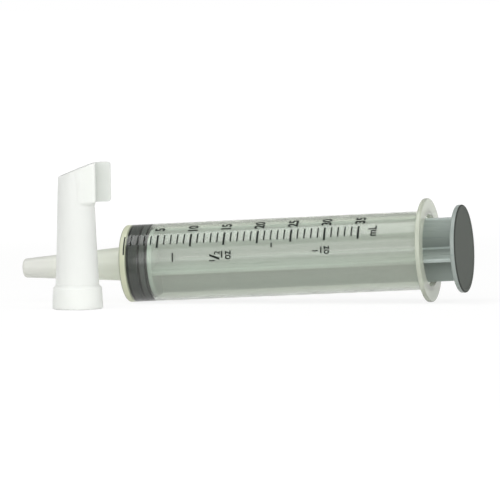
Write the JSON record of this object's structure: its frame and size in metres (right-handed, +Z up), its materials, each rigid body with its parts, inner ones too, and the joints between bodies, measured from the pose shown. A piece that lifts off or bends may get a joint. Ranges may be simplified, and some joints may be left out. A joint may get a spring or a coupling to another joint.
{
  "type": "catheter tip syringe",
  "caption": "Clear plastic syringe with a long tapered nozzle, ribbed rubber stopper, cruciform plunger rod, round finger flange and a loose white tip cap.",
  "frame": {"origin": "bottom centre of the box round everything: floor height, middle of length and depth", "axes": "+Z up, +X from the nozzle towards the thumb disc, -Y the side with the tip cap"},
  "size_m": [0.152, 0.06, 0.0482],
  "materials": {
    "clear_plastic": "clear, slightly milky polypropylene with a moulded gloss, milkier in the nozzle and the flange",
    "stopper_rubber": "matt dark grey rubber",
    "rod_plastic": "grey-green moulded polypropylene, satin, with a dull grained thumb face",
    "white_plastic": "satin white polyethylene",
    "scale_ink": "black scale print"
  },
  "bodies": {
    "barrel": {"barrel": "clear_plastic", "tip_cap": "white_plastic"},
    "stopper": {"gasket": "stopper_rubber"},
    "plunger": {"plunger_rod": "rod_plastic"}
  },
  "joints": [
    {"name": "plunger_slide", "type": "slide", "parent": "barrel", "child": "stopper", "axis": [0.9991, 0, 0.0422], "range_m": [0, 0.091]},
    {"name": "plunger_turn", "type": "hinge", "parent": "stopper", "child": "plunger", "pos_m": [-0.03015, 0.01286, 0.01321], "axis": [0.9991, 0, 0.0422], "continuous": true}
  ]
}
